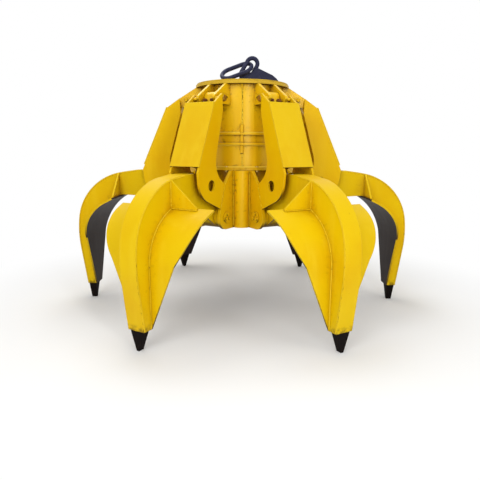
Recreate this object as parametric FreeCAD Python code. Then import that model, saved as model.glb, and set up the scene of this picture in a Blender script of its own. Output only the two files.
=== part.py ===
import FreeCAD, Part
import math
import os
from FreeCAD import Vector

# Six-tine electro-hydraulic orange-peel grab, standing open on its tooth tips.
# +Z is up, the hub axis is x = y = 0 and the tooth tips stand on z = 0. Lengths are in mm.
# A tine and all that serves it is drawn on the +X side: x is the distance from the hub axis,
# y runs across the tine and z is the height. It is then turned to its place about the hub axis.

# ---- overall ----
TINES = 6
CLOSING_SWING = 67.0            # degrees that a tine turns from wide open to shut
RUNNING_FIT = 0.05              # radial clearance of a pin in a bore that turns on it
BODY_GAP = 0.3                  # clearance between faces of pieces that move past each other
TRIM = 50.0                     # how far a cutting shape runs past the piece that it cuts

# ---- drum, hub and top plate ----
DRUM_R = 410.0
DRUM_WALL = 12.0
DRUM_TOP = 2207.0
TOP_PLATE_OVERHANG = 60.0
TOP_PLATE = 25.0
TOP_COVER_STEP = 10.0
TOP_COVER = 14.0
RING_TOP = 1762.0
RING_BOTTOM = 1648.0
RING_FLANGE = 20.0
RING_OVERHANG = 30.0
HUB_FLANGE_OVERHANG = 36.0
DRUM_FLANGE = 12.0              # on the drum's lower end, above the hub flange
HUB_FLANGE = 17.0
HUB_FLANGE_BOTTOM = 1408.0
POST_CIRCLE_OUT = 10.0          # centre circle of the round posts between the tines, outside the drum
POST_BITE = 2.0                 # how far a post reaches past the inner face of a lug
POST_BOTTOM = 859.0
POST_WALL = 12.0
COLUMN_WALL = 12.0
COLUMN_BOTTOM = 876.0
COLUMN_PASSAGE_R = 277.0        # hole in the flange between drum and column
DISH_R = 202.0
DISH = 30.0
DRAIN_PLUG = (50.0, 20.0)       # across flats and height
INDEX_BAR_R = 19.0
INDEX_BAR_ROUND = 11.0
INDEX_BAR_RUN = (78.0, 82.0)    # how far it runs above and below the middle ring
FLANGE_BOLT_R = 8.0
FLANGE_BOLT_PLAY = 1.0
FLANGE_BOLT_WIDTH = 24.0        # across the flats of head and nut
FLANGE_BOLT_SHOW = 6.0          # thread past the nut
FLANGE_BOLT_OUT = 18.0          # their circle outside the drum
FLANGE_BOLT_SPREAD = 10.0       # degrees either side of a tine
BOLT_HEAD = 10.0
NUT = 13.0

TOP_PLATE_R = DRUM_R + TOP_PLATE_OVERHANG
TOP_COVER_R = TOP_PLATE_R - TOP_COVER_STEP
TOP_PLATE_TOP = DRUM_TOP + TOP_PLATE
COVER_TOP = TOP_PLATE_TOP + TOP_COVER
RING_R = DRUM_R + RING_OVERHANG
HUB_FLANGE_R = DRUM_R + HUB_FLANGE_OVERHANG
HUB_FLANGE_TOP = HUB_FLANGE_BOTTOM + HUB_FLANGE
DRUM_FLANGE_TOP = HUB_FLANGE_TOP + DRUM_FLANGE
FLANGE_BOLT_CIRCLE_R = DRUM_R + FLANGE_BOLT_OUT
POST_CIRCLE_R = DRUM_R + POST_CIRCLE_OUT
INDEX_BAR_TOP = RING_TOP + INDEX_BAR_RUN[0]
INDEX_BAR_BOTTOM = RING_BOTTOM - INDEX_BAR_RUN[1]

# ---- the three pins that each tine works on (distance from hub axis, height) ----
HINGE = (DRUM_R + 148.0, 975.0)  # tine on hub
CYLINDER_TOP = (DRUM_R + 105.0, DRUM_TOP - 137.0)  # cylinder on hub
CYLINDER_FOOT = (DRUM_R + 394.0, 1284.0)  # cylinder on tine, tine wide open
HINGE_PIN_R = 42.0
TOP_PIN_R = 30.0
FOOT_PIN_R = 35.0
PIN_CHAMFER = 4.0

# ---- tine ----
TINE_WIDTH = 168.0              # over the side plates
SIDE_PLATE = 20.0
FLANGE = 16.0                   # back strip, soffit and diaphragm
HINGE_BOSS_R = 103.0
FOOT_LOBE_R = 115.0
FOOT_BOSS_R = 62.0
FOOT_BOSS_REACH = 16.0          # how far the pin boss stands out of a side plate
FOOT_PIN_SHOW = 6.0             # how far the pin stands out of its boss
TINE_FOOT = 174.0               # height where the plates end and the tooth begins
RIDGE_START = (DRUM_R + 690.0, 1392.0)
RIDGE_SLOPE = -8.0
RIDGE_RUN = 141.0
RIDGE_KNEE_R = 560.0
RIDGE_KNEE_TURN = 74.0
RIDGE_BELLY_R = 1155.0
RIDGE_BELLY_TURN = 16.0
CREASE_START = (DRUM_R + 844.0, 1139.0)
CREASE_SLOPE = -26.0
CREASE_RUN = 70.0
CREASE_KNEE_R = 460.0
SOFFIT_CORNER = (DRUM_R + 590.0, 1122.0)
SOFFIT_CORNER_R = 80.0
DIAPHRAGM_X = DRUM_R + 538.0    # end of the closed box, towards the cylinder foot

# ---- shell of the tine ----
SHELL = 16.0
SHELL_TOP_HALF = 484.0          # half width along the top edge
SHELL_BELLY = (428.0, 915.0)    # half width and height on the rounded shoulder
SHELL_SHOULDER = (322.0, 719.0)  # where the edge turns straight
GUSSET = 16.0
GUSSET_X = DRUM_R + 862.0
GUSSET_HALF = 341.0             # half width where the gusset meets the shell's top edge
GUSSET_DROP = 30.0              # its top below the top of the arm
GUSSET_LIP = 4.0                # its outer corner above the shell's top edge

# ---- tooth ----
TOOTH_INSET = 5.0               # its inner and outer face behind the edges of the side plates
TOOTH_COLLAR = 10.0             # straight part below the plates
TOOTH_TIP_DRAFT = (15.0, 6.0)   # how much further in the tip's inner and outer face stand
TOOTH_TIP_HALF = 13.0
TOOTH_SHANK = 90.0
TOOTH_SHANK_PLAY = 2.0          # between the shank and the box that it enters
TOOTH_SHANK_TAPER = 8.0

# ---- cylinder, measured along its axis from the top pin ----
BARREL_R = 75.0
BARREL_WALL = 12.5
CAP_START = 78.0
BORE_START = 150.0
GLAND_START = 620.0
BORE_END = 644.0
BARREL_END = 672.0
GLAND_STEP = 9.0                # how far the gland nut stands out of the barrel
BARREL_EYE_R = 60.0
BARREL_NECK_LAP = 12.0          # how far the eye's square neck runs into the barrel
BARREL_EYE_PLAY = 3.0           # on each side, between the bracket plates
ROD_R = 40.0
PISTON_SET = 6.0                # the piston below the start of the bore
PISTON = 40.0
ROD_EYE_WALL = 28.0
ROD_EYE_PLAY = 14.0             # on each side, between the tine's side plates
PORT = 46.0                     # side of the square port blocks
PORT_REACH = 26.0
PORT_SET = 15.0                 # the upper port block below the start of the bore
PORT_LIFT = 10.0                # the lower port block above the gland nut
OIL_PIPE_R = 9.0

# ---- plates that hold the pins ----
LUG_INNER = 130.0               # inner face of a hinge lug, from the tine's middle plane
LUG = 30.0
LUG_LOBE_MARGIN = 15.0          # how far a lug's lobe stands past the tine's hinge boss
LUG_TOP_X = DRUM_R + 60.0
LUG_WAIST = (DRUM_R + 176.0, 1275.0)
LUG_BOTTOM = 857.0
BRACKET_INNER = 75.0
BRACKET = 25.0
BRACKET_SHOULDER_X = DRUM_R + 55.0  # where the sloping upper edge leaves the top plate
BRACKET_NOSE = (DRUM_R + 224.0, DRUM_TOP - 139.0)
BRACKET_CHIN = (DRUM_R + 212.0, DRUM_TOP - 161.0)
BRACKET_ROUND = 28.0            # radius of nose and chin

# ---- cheeks and guard cover beside and in front of each cylinder ----
CHEEK = 20.0
CHEEK_TOP = (DRUM_R + 212.0, DRUM_TOP - 107.0)
GUARD_TOP = (DRUM_R + 345.0, DRUM_TOP - 189.0)  # outer face of the cover at its top edge
GUARD_BOTTOM = (DRUM_R + 588.0, 1457.0)
GUARD = 12.0
CHEEK_CORNER = (DRUM_R + 598.0, 1404.0)
CHEEK_LOBE = (DRUM_R + 375.0, 1345.0)
CHEEK_LOBE_R = 215.0
CHEEK_FOOT = (DRUM_R + 230.0, 1054.0)  # with the next corner inside the lug, which trims the cheek
CHEEK_SEAM_TOP = (DRUM_R + 138.0, 1263.0)
CHEEK_BAY = (DRUM_R + 120.0, 1490.0)  # centre of the hollow inner edge
CHEEK_BAY_R = 200.0
CHEEK_NECK = (DRUM_R + 202.0, DRUM_TOP - 252.0)
CHEEK_HOLE_R = 50.0
SPACER_AT = (DRUM_R + 230.0, DRUM_TOP - 151.0)
SPACER_R = 18.0

# ---- what holds the pins: a bolted cap on a hinge pin, a keeper bar on a cylinder pin ----
CAP = 12.0
CAP_OVERLAP = 10.0              # how far a cap's rim covers the plate round the pin
CAP_BOLTS = 3
CAP_BOLT_INSET = 13.0           # their circle inside the pin's edge
KEEPER = 12.0
KEEPER_WIDTH = 36.0
KEEPER_SET = 11.0               # its middle below the top of the pin
KEEPER_REACH = 46.0             # its bolts from the pin axis
PIN_STUB = 20.0                 # how far a cylinder pin stands out of its plates
BOLT_WIDTH = 28.0               # across the flats of a bolt head
BOLT_HEIGHT = 11.0

# ---- drive inside the drum ----
MOTOR_R = 190.0
MOTOR_HEIGHT = 400.0
MOTOR_FINS = 24
MOTOR_FIN = (12.0, 6.0)         # how far a rib stands out, and its thickness
MOTOR_FIN_ENDS = (50.0, 30.0)   # plain body below and above the ribs
MOTOR_FOOT = (225.0, 20.0)      # radius and thickness
SHAFT_R = 35.0
PUMP_R = 95.0
PUMP_HEIGHT = 150.0
PUMP_FLANGE = (125.0, 18.0)     # radius and thickness
SHAFT_HOLE_R = 60.0
VALVE_BLOCK = (220.0, 150.0, 130.0)
VALVE_BLOCK_Y = 240.0
COILS = 3
COIL_R = 22.0
COIL_LENGTH = 60.0
COIL_PITCH = 70.0

# ---- lifting gear on the top plate, drawn in the plane y = 0 ----
LINK_BAR = 42.0
LIFT_PIN_R = 22.0
LIFT_PIN_HEAD = (26.0, 5.0)     # radius and thickness
LIFT_PIN_AT = (32.0, COVER_TOP + 96.0)
LIFT_PLATE = 20.0
LINK_SIDE_PLAY = 3.0            # between the short link and the two plates
LIFT_PLATE_LOBE_R = 38.0
LIFT_PLATE_SADDLE = (82.0, COVER_TOP + 162.0)
LIFT_PLATE_SADDLE_R = 42.0      # hollow that the long link's crown passes over
LIFT_PLATE_APEX = (150.0, COVER_TOP + 148.0)
LIFT_PLATE_APEX_R = 14.0
LIFT_PLATE_LEFT = -70.0
LIFT_PLATE_KNEE = (303.0, COVER_TOP + 93.0)
LIFT_PLATE_HEEL = (340.0, COVER_TOP + 64.0)
LIFT_PLATE_RIGHT = 395.0
LIFT_WEB = (280.0, 20.0, 60.0)  # place, thickness and height of the web between the plates
SHORT_LINK_TOP = (98.0, COVER_TOP + 208.0)  # centre of the upper crown
SHORT_LINK_NARROW = 10.0        # half its inner width is this much less than the bar
LONG_LINK_PLAY = 2.5            # past half a bar, on each side of the two plates
LONG_LINK_CROWN = (68.0 + LINK_BAR / 2, COVER_TOP + 150.0 + LINK_BAR)  # crown bar in the short link
LONG_LINK_PITCH = 313.0         # crown bar to crown bar
LONG_LINK_SLOPE = 20.0
LONG_LINK_ROLL = 36.0

# ---- fittings on the top plate ----
GLAND_AT = (-170.0, 270.0)
CABLE_HOLE_R = 16.0
CABLE_GLAND_R = 34.0
CABLE_GLAND_HEIGHT = 62.0
CABLE_GLAND_NUT = 24.0
CABLE_GLAND_BODY_R = 27.0
CABLE_GLAND_CHAMFER = 5.0
SPIGOT_R = 23.5
SPIGOT_PLAY = 0.5
BREATHER_AT = (190.0, 250.0)
BREATHER_R = 42.0
BREATHER_HEIGHT = 70.0
BREATHER_STEM_R = 21.0
BREATHER_CAP = 35.0
BREATHER_ROUND = 8.0

POST_R = POST_CIRCLE_R * math.sin(math.pi / TINES) - LUG_INNER + POST_BITE
COLUMN_R = POST_CIRCLE_R - POST_R - BODY_GAP
LUG_OUTER = LUG_INNER + LUG
CHEEK_INNER = LUG_INNER + (LUG - CHEEK) * 0.8
CHEEK_OUTER = CHEEK_INNER + CHEEK
BARREL_EYE_HALF = BRACKET_INNER - BARREL_EYE_PLAY
BRACKET_OUTER = BRACKET_INNER + BRACKET
SIDE_INNER = TINE_WIDTH / 2 - SIDE_PLATE
ROD_EYE_HALF = SIDE_INNER - ROD_EYE_PLAY
BARREL_BORE_R = BARREL_R - BARREL_WALL
GLAND_R = BARREL_R + GLAND_STEP
PISTON_START = BORE_START + PISTON_SET
LUG_LOBE_R = HINGE_BOSS_R + LUG_LOBE_MARGIN
CAP_BOLT_CIRCLE_R = HINGE_PIN_R - CAP_BOLT_INSET
KEEPER_RISE = TOP_PIN_R - KEEPER_SET
LIFT_PLATE_GAP = LINK_BAR + LINK_SIDE_PLAY
SHORT_LINK_HALF = LINK_BAR - SHORT_LINK_NARROW
LONG_LINK_HALF = LIFT_PLATE_GAP / 2 + LIFT_PLATE + LINK_BAR / 2 + LONG_LINK_PLAY


# ---------------------------------------------------------------- drawing helpers
def at(place, y=0.0):
    """Point of the tine plane, given as (distance from the hub axis, height)."""
    return Vector(place[0], y, place[1])


def belt_edges(discs, closed=True):
    """Edges of a line that wraps discs (x, z, radius) clockwise, as seen from -Y.

    Radius 0 is a sharp corner and a negative radius is a hollow corner."""
    count = len(discs)
    spans = []
    for index in range(count if closed else count - 1):
        x1, z1, r1 = discs[index]
        x2, z2, r2 = discs[(index + 1) % count]
        distance = math.hypot(x2 - x1, z2 - z1)
        dx, dz = (x2 - x1) / distance, (z2 - z1) / distance
        along = (r1 - r2) / distance
        across = math.sqrt(1 - along * along)
        nx, nz = along * dx - across * dz, along * dz + across * dx
        spans.append((Vector(x1 + r1 * nx, 0, z1 + r1 * nz), Vector(x2 + r2 * nx, 0, z2 + r2 * nz), nx, nz))
    edges = []
    for index, (start, end, nx, nz) in enumerate(spans):
        edges.append(Part.makeLine(start, end))
        if index + 1 == len(spans) and not closed:
            continue
        x, z, radius = discs[(index + 1) % count]
        if radius == 0:
            continue
        next_start, _, next_nx, next_nz = spans[(index + 1) % len(spans)]
        turn = math.atan2(nx * next_nz - nz * next_nx, nx * next_nx + nz * next_nz)
        if radius > 0 and turn > 0:
            turn -= 2 * math.pi
        half = turn / 2
        mx = nx * math.cos(half) - nz * math.sin(half)
        mz = nx * math.sin(half) + nz * math.cos(half)
        middle = Vector(x + radius * mx, 0, z + radius * mz)
        edges.append(Part.Arc(end, middle, next_start).toShape())
    return edges


def flow_edges(start, slope, steps, foot, inset=0.0):
    """Edges of a line that runs and bends to the right, and ends with a run to the height foot.

    Each step is (run, bend radius, bend angle). inset moves the line to its right."""
    angle = math.radians(slope)
    here = Vector(start[0] + inset * math.sin(angle), 0, start[1] - inset * math.cos(angle))
    edges = []
    for run, radius, bend in steps:
        if run > 0:
            there = here + Vector(math.cos(angle) * run, 0, math.sin(angle) * run)
            edges.append(Part.makeLine(here, there))
            here = there
        reach = radius - inset
        centre = here + Vector(math.sin(angle) * reach, 0, -math.cos(angle) * reach)
        points = []
        for share in (0.5, 1.0):
            heading = angle - math.radians(bend) * share
            points.append(centre + Vector(-math.sin(heading) * reach, 0, math.cos(heading) * reach))
        edges.append(Part.Arc(here, points[0], points[1]).toShape())
        angle -= math.radians(bend)
        here = points[1]
    there = here + Vector(math.cos(angle), 0, math.sin(angle)) * ((foot - here.z) / math.sin(angle))
    edges.append(Part.makeLine(here, there))
    return edges


def ends(edges):
    """First and last point of a chain of edges that was drawn in order."""
    return edges[0].Vertexes[0].Point, edges[-1].Vertexes[-1].Point


def slab(edges, y1, y2):
    """Plate with the outline edges, between the planes y1 and y2."""
    wire = Part.Wire(Part.__sortEdges__(edges))
    plate = Part.Face(wire).extrude(Vector(0, y2 - y1, 0))
    plate.translate(Vector(0, y1, 0))
    return plate


def plate_pair(edges, inner, thickness):
    """Two like plates, one each side of the tine's middle plane."""
    return [slab(edges, inner, inner + thickness), slab(edges, -inner - thickness, -inner)]


def cross_bar(place, radius, y1, y2):
    """Round bar along Y through a point of the tine plane."""
    return Part.makeCylinder(radius, y2 - y1, at(place, y1), Vector(0, 1, 0))


def disc(radius, bottom, top, x=0.0, y=0.0):
    return Part.makeCylinder(radius, top - bottom, Vector(x, y, bottom))


def tube(radius, wall, bottom, top, x=0.0, y=0.0):
    return disc(radius, bottom, top, x, y).cut(disc(radius - wall, bottom, top, x, y))


def hexagon(across_flats, height, base, axis):
    """Hexagonal prism that stands on base and rises along axis."""
    radius = across_flats / math.sqrt(3)
    corners = [Vector(radius * math.cos(math.radians(60 * k)), radius * math.sin(math.radians(60 * k)), 0)
               for k in range(7)]
    prism = Part.Face(Part.makePolygon(corners)).extrude(Vector(0, 0, height))
    prism.Placement = FreeCAD.Placement(base, FreeCAD.Rotation(Vector(0, 0, 1), axis))
    return prism


def fused(shapes):
    """One solid from shapes that touch or cross."""
    whole = shapes[0].multiFuse(shapes[1:]) if len(shapes) > 1 else shapes[0]
    return whole.removeSplitter()


def turned(shape, index, step=360.0 / TINES):
    """Copy of a shape turned about the hub axis by so many steps."""
    copy = shape.copy()
    copy.rotate(Vector(0, 0, 0), Vector(0, 0, 1), step * index)
    return copy


def around(shapes):
    """Every shape repeated at each tine, as separate solids."""
    return Part.makeCompound([turned(shape, index) for index in range(TINES) for shape in shapes])


def export(name, shape):
    shape.exportStep("parts/%s.step" % name)


# ---------------------------------------------------------------- cylinder motion
def foot_pin_at(swing):
    """Place of the cylinder's foot pin when the tine has closed by swing degrees."""
    x = CYLINDER_FOOT[0] - HINGE[0]
    z = CYLINDER_FOOT[1] - HINGE[1]
    angle = math.radians(swing)
    return (HINGE[0] + x * math.cos(angle) + z * math.sin(angle),
            HINGE[1] - x * math.sin(angle) + z * math.cos(angle))


def cylinder_line(swing):
    """Length between the cylinder's pins and its lean from the vertical, in radians."""
    x, z = foot_pin_at(swing)
    x -= CYLINDER_TOP[0]
    z -= CYLINDER_TOP[1]
    return math.hypot(x, z), math.atan2(x, -z)


def foot_pin_drift(swing):
    """Offset of the foot pin from the rod eye, across and along the rod.

    The rod slides out and leans in proportion to the swing, so the eye meets the pin exactly
    when the tine is wide open and when it is shut, and needs play between."""
    share = swing / CLOSING_SWING
    open_length, open_lean = cylinder_line(0)
    shut_length, shut_lean = cylinder_line(CLOSING_SWING)
    length, lean = cylinder_line(swing)
    eye_lean = open_lean + share * (shut_lean - open_lean)
    eye_length = open_length + share * (shut_length - open_length)
    return length * math.sin(lean - eye_lean), length * math.cos(lean - eye_lean) - eye_length


def rod_slot(wall=0.0):
    """Discs (across, along, radius) that bound the oblong pin hole of the rod eye."""
    steps = 24
    path = [foot_pin_drift(CLOSING_SWING * k / steps) for k in range(steps + 1)]
    far = max(path)
    bends = [(across, along - far[1] * across / far[0]) for across, along in path if across > 5]
    flare = max(abs(bend) * far[0] / across for across, bend in bends)
    radius = FOOT_PIN_R + BODY_GAP + wall
    return [(0.0, 0.0, radius), (far[0], far[1], radius + flare)]


def on_cylinder_axis(shape):
    """Shape drawn from the top pin down the -Z axis, laid on the open cylinder's axis."""
    lean = math.degrees(cylinder_line(0)[1])
    shape.rotate(Vector(0, 0, 0), Vector(0, 1, 0), -lean)
    shape.translate(at(CYLINDER_TOP))
    return shape


def barrel():
    """Cylinder barrel with base eye, gland nut, two port blocks and the oil pipe between them."""
    length = BARREL_END - CAP_START
    body = Part.makeCylinder(BARREL_R, length, Vector(0, 0, -CAP_START), Vector(0, 0, -1))
    gland = Part.makeCylinder(GLAND_R, BARREL_END - GLAND_START, Vector(0, 0, -GLAND_START), Vector(0, 0, -1))
    eye = cross_bar((0, 0), BARREL_EYE_R, -BARREL_EYE_HALF, BARREL_EYE_HALF)
    drop = CAP_START + BARREL_NECK_LAP
    corner = Vector(-BARREL_EYE_R, -BARREL_EYE_HALF, -drop)
    neck = Part.makeBox(2 * BARREL_EYE_R, 2 * BARREL_EYE_HALF, drop, corner)
    neck = neck.common(Part.makeCylinder(GLAND_R, drop, Vector(0, 0, -drop)))
    pieces = [body, gland, eye, neck]
    reach = BARREL_R + PORT_REACH
    for height in (BORE_START + PORT_SET, GLAND_START - PORT - PORT_LIFT):
        pieces.append(Part.makeBox(reach, PORT, PORT, Vector(-reach, -PORT / 2, -height - PORT)))
    pipe_x = -BARREL_R - PORT_REACH / 2
    pipe_length = GLAND_START - BORE_START - PORT
    pieces.append(Part.makeCylinder(OIL_PIPE_R, pipe_length, Vector(pipe_x, 0, -BORE_START - PORT / 2),
                                    Vector(0, 0, -1)))
    whole = fused(pieces)
    bore = Part.makeCylinder(BARREL_BORE_R, BORE_END - BORE_START, Vector(0, 0, -BORE_START),
                             Vector(0, 0, -1))
    mouth = Part.makeCylinder(ROD_R + RUNNING_FIT, BARREL_END - BORE_END + 1, Vector(0, 0, -BORE_END),
                              Vector(0, 0, -1))
    pin_hole = cross_bar((0, 0), TOP_PIN_R + RUNNING_FIT, -BARREL_EYE_HALF, BARREL_EYE_HALF)
    return on_cylinder_axis(whole.cut(bore.fuse(mouth)).cut(pin_hole))


def rod():
    """Piston, rod and the eye whose oblong hole gives the foot pin its play."""
    reach = cylinder_line(0)[0]
    piston = Part.makeCylinder(BARREL_BORE_R - RUNNING_FIT, PISTON, Vector(0, 0, -PISTON_START),
                               Vector(0, 0, -1))
    bar = Part.makeCylinder(ROD_R, reach - PISTON_START - PISTON, Vector(0, 0, -PISTON_START - PISTON),
                            Vector(0, 0, -1))
    outer = [(x, -reach - along, radius) for x, along, radius in rod_slot(ROD_EYE_WALL)]
    inner = [(x, -reach - along, radius) for x, along, radius in rod_slot()]
    eye = slab(belt_edges(outer), -ROD_EYE_HALF, ROD_EYE_HALF)
    hole = slab(belt_edges(inner), -ROD_EYE_HALF - TRIM, ROD_EYE_HALF + TRIM)
    return on_cylinder_axis(fused([piston, bar, eye]).cut(hole))


# ---------------------------------------------------------------- tine
def ridge(inset=0.0):
    """Outer edge of the tine, from the arm over the knee to the tooth."""
    steps = [(RIDGE_RUN, RIDGE_KNEE_R, RIDGE_KNEE_TURN), (0, RIDGE_BELLY_R, RIDGE_BELLY_TURN)]
    return flow_edges(RIDGE_START, RIDGE_SLOPE, steps, TINE_FOOT, inset)


def crease(inset=0.0):
    """Line where the side plates meet the shell, from the arm's underside to the tooth."""
    steps = [(CREASE_RUN, CREASE_KNEE_R, 90 + CREASE_SLOPE)]
    return flow_edges(CREASE_START, CREASE_SLOPE, steps, TINE_FOOT, inset)


def arm_discs(inset=0.0):
    """Discs that the arm's outline wraps between the shell's top edge and the ridge."""
    return [(CREASE_START[0], CREASE_START[1] + inset, 0),
            (SOFFIT_CORNER[0], SOFFIT_CORNER[1] + inset - SOFFIT_CORNER_R, -SOFFIT_CORNER_R),
            (HINGE[0], HINGE[1], HINGE_BOSS_R - inset),
            (CYLINDER_FOOT[0], CYLINDER_FOOT[1], FOOT_LOBE_R - inset),
            (RIDGE_START[0], RIDGE_START[1] - inset, 0)]


def tine_outline():
    """Side plate of the tine: hinge lobe, cylinder lobe, arm, knee and leg."""
    outer, inner = ridge(), crease()
    foot = Part.makeLine(ends(outer)[1], ends(inner)[1])
    return outer + [foot] + inner + belt_edges(arm_discs(), closed=False)


def box_walls():
    """Back strip, soffit and diaphragm that close the box between the side plates."""
    half = SIDE_INNER
    full = slab(tine_outline(), -half, half)
    inner_ridge, outer_crease = ridge(FLANGE), crease()
    start = ends(inner_ridge)[0]
    foot = Part.makeLine(ends(inner_ridge)[1], ends(outer_crease)[1])
    soffit_end = CREASE_START[0], CREASE_START[1] + FLANGE
    left = DIAPHRAGM_X + FLANGE
    corners = [Vector(start.x, 0, start.z), Vector(left, 0, start.z), Vector(left, 0, soffit_end[1]),
               at(soffit_end), at(CREASE_START)]
    sides = [Part.makeLine(a, b) for a, b in zip(corners, corners[1:])]
    hollow = slab(inner_ridge + [foot] + outer_crease + sides, -half, half)
    opening = Part.makeBox(DIAPHRAGM_X, 2 * half, 2 * HINGE[1], Vector(0, -half, 0))
    return full.cut(hollow).cut(opening)


def gusset_pair(inside):
    """Triangular gussets between the side plates and the shell's top edge."""
    half = TINE_WIDTH / 2
    root = CREASE_START[1] - TRIM
    corners = [Vector(GUSSET_X, half, RIDGE_START[1] - GUSSET_DROP),
               Vector(GUSSET_X, GUSSET_HALF, CREASE_START[1] + GUSSET_LIP),
               Vector(GUSSET_X, GUSSET_HALF, root), Vector(GUSSET_X, half, root)]
    right = Part.Face(Part.makePolygon(corners + corners[:1])).extrude(Vector(GUSSET, 0, 0)).cut(inside)
    return [right, right.mirror(Vector(0, 0, 0), Vector(0, 1, 0))]


def behind_crease():
    """Everything on the shell's side of the crease, for trimming what stands on the shell."""
    line = crease()
    corners = [ends(line)[1], Vector(0, 0, TINE_FOOT), Vector(0, 0, CREASE_START[1]), at(CREASE_START)]
    sides = [Part.makeLine(a, b) for a, b in zip(corners, corners[1:])]
    return slab(line + sides, -SHELL_TOP_HALF, SHELL_TOP_HALF)


def tine_frame():
    """Welded box of the tine with its hinge boss, cylinder lobes and gussets."""
    half = TINE_WIDTH / 2
    boss_half = LUG_INNER - BODY_GAP
    boss_out = half + FOOT_BOSS_REACH
    pieces = plate_pair(tine_outline(), SIDE_INNER, SIDE_PLATE)
    pieces.append(box_walls())
    pieces.append(cross_bar(HINGE, HINGE_BOSS_R, -boss_half, boss_half))
    pieces.append(cross_bar(CYLINDER_FOOT, FOOT_BOSS_R, half, boss_out))
    pieces.append(cross_bar(CYLINDER_FOOT, FOOT_BOSS_R, -boss_out, -half))
    pieces += gusset_pair(behind_crease())
    frame = fused(pieces)
    hinge_hole = cross_bar(HINGE, HINGE_PIN_R + RUNNING_FIT, -boss_half, boss_half)
    foot_hole = cross_bar(CYLINDER_FOOT, FOOT_PIN_R + RUNNING_FIT, -boss_out, boss_out)
    return frame.cut(hinge_hole).cut(foot_hole)


def shell():
    """Leaf-shaped plate, rolled to the crease line."""
    outer, inner = crease(BODY_GAP), crease(BODY_GAP + SHELL)
    closing = [Part.makeLine(ends(outer)[k], ends(inner)[k]) for k in (0, 1)]
    band = slab(outer + inner + closing, -SHELL_TOP_HALF - TRIM, SHELL_TOP_HALF + TRIM)
    edge = []
    for side in (1, -1):
        top = Vector(0, side * SHELL_TOP_HALF, CREASE_START[1])
        belly = Vector(0, side * SHELL_BELLY[0], SHELL_BELLY[1])
        shoulder = Vector(0, side * SHELL_SHOULDER[0], SHELL_SHOULDER[1])
        foot = Vector(0, side * TINE_WIDTH / 2, TINE_FOOT)
        edge.append((Part.Arc(top, belly, shoulder).toShape(), Part.makeLine(shoulder, foot), top, foot))
    (arc_1, line_1, top_1, foot_1), (arc_2, line_2, top_2, foot_2) = edge
    leaf = [arc_1, line_1, Part.makeLine(foot_1, foot_2), line_2, arc_2, Part.makeLine(top_2, top_1)]
    wire = Part.Wire(Part.__sortEdges__(leaf))
    prism = Part.Face(wire).extrude(Vector(ends(outer)[1].x + TRIM, 0, 0))
    return band.common(prism)


def section(x1, x2, half, z):
    corners = [Vector(x1, -half, z), Vector(x2, -half, z), Vector(x2, half, z), Vector(x1, half, z)]
    return Part.makePolygon(corners + corners[:1])


def tooth():
    """Cast tooth: blade tapering to a blunt tip, and the shank inside the box."""
    half = SIDE_INNER - TOOTH_SHANK_PLAY
    inner_x = ends(crease())[1].x + TOOTH_INSET
    outer_x = ends(ridge())[1].x - TOOTH_INSET
    collar_z = TINE_FOOT - TOOTH_COLLAR
    collar = Part.makeLoft([section(inner_x, outer_x, half, TINE_FOOT),
                            section(inner_x, outer_x, half, collar_z)], True, True)
    tip = section(inner_x + TOOTH_TIP_DRAFT[0], outer_x - TOOTH_TIP_DRAFT[1], TOOTH_TIP_HALF, 0)
    blade = Part.makeLoft([section(inner_x, outer_x, half, collar_z), tip], True, True)
    back_x = ends(ridge(FLANGE))[1].x - TOOTH_SHANK_PLAY
    taper = TOOTH_SHANK_TAPER
    top = section(inner_x + taper, back_x - taper, half - taper, TINE_FOOT + TOOTH_SHANK)
    shank = Part.makeLoft([section(inner_x, back_x, half, TINE_FOOT), top], True, True)
    return fused([collar, blade, shank])


def rod_pin():
    """Pin through the cylinder lobes of the tine, with a chamfer at each end."""
    reach = TINE_WIDTH / 2 + FOOT_BOSS_REACH + FOOT_PIN_SHOW
    pin = cross_bar(CYLINDER_FOOT, FOOT_PIN_R, -reach, reach)
    return pin.makeChamfer(PIN_CHAMFER, [edge for edge in pin.Edges if edge.Closed])


# ---------------------------------------------------------------- hub plates
def lug_outline():
    return belt_edges([(LUG_TOP_X, HUB_FLANGE_BOTTOM, 0), (LUG_WAIST[0], LUG_WAIST[1], 0),
                       (HINGE[0], HINGE[1], LUG_LOBE_R), (COLUMN_R, LUG_BOTTOM, 0),
                       (COLUMN_R, HUB_FLANGE_BOTTOM, 0)])


def lug_pair():
    """Hinge lugs of one tine, hollowed round the posts that they are welded to."""
    hole = cross_bar(HINGE, HINGE_PIN_R + RUNNING_FIT, -LUG_OUTER, LUG_OUTER)
    lugs = []
    for side, plate in zip((1, -1), plate_pair(lug_outline(), LUG_INNER, LUG)):
        angle = math.radians(side * 180.0 / TINES)
        post = disc(POST_R + BODY_GAP, POST_BOTTOM - TRIM, HUB_FLANGE_BOTTOM + TRIM,
                    POST_CIRCLE_R * math.cos(angle), POST_CIRCLE_R * math.sin(angle))
        pieces = plate.cut(post).cut(hole).Solids
        lugs.append(max(pieces, key=lambda piece: piece.CenterOfMass.x))
    return lugs


def post():
    """Round post between two tines, closed at the bottom."""
    x = POST_CIRCLE_R * math.cos(math.pi / TINES)
    y = POST_CIRCLE_R * math.sin(math.pi / TINES)
    pipe = tube(POST_R, POST_WALL, POST_BOTTOM, HUB_FLANGE_BOTTOM, x, y)
    return fused([pipe, disc(POST_R, POST_BOTTOM, POST_BOTTOM + POST_WALL, x, y)])


def guard_line(depth):
    """Top and bottom of the cover line, moved inwards by depth."""
    dx = GUARD_BOTTOM[0] - GUARD_TOP[0]
    dz = GUARD_BOTTOM[1] - GUARD_TOP[1]
    length = math.hypot(dx, dz)
    step = (dz / length * depth, -dx / length * depth)
    return [(x + step[0], z + step[1]) for x, z in (GUARD_TOP, GUARD_BOTTOM)]


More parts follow.
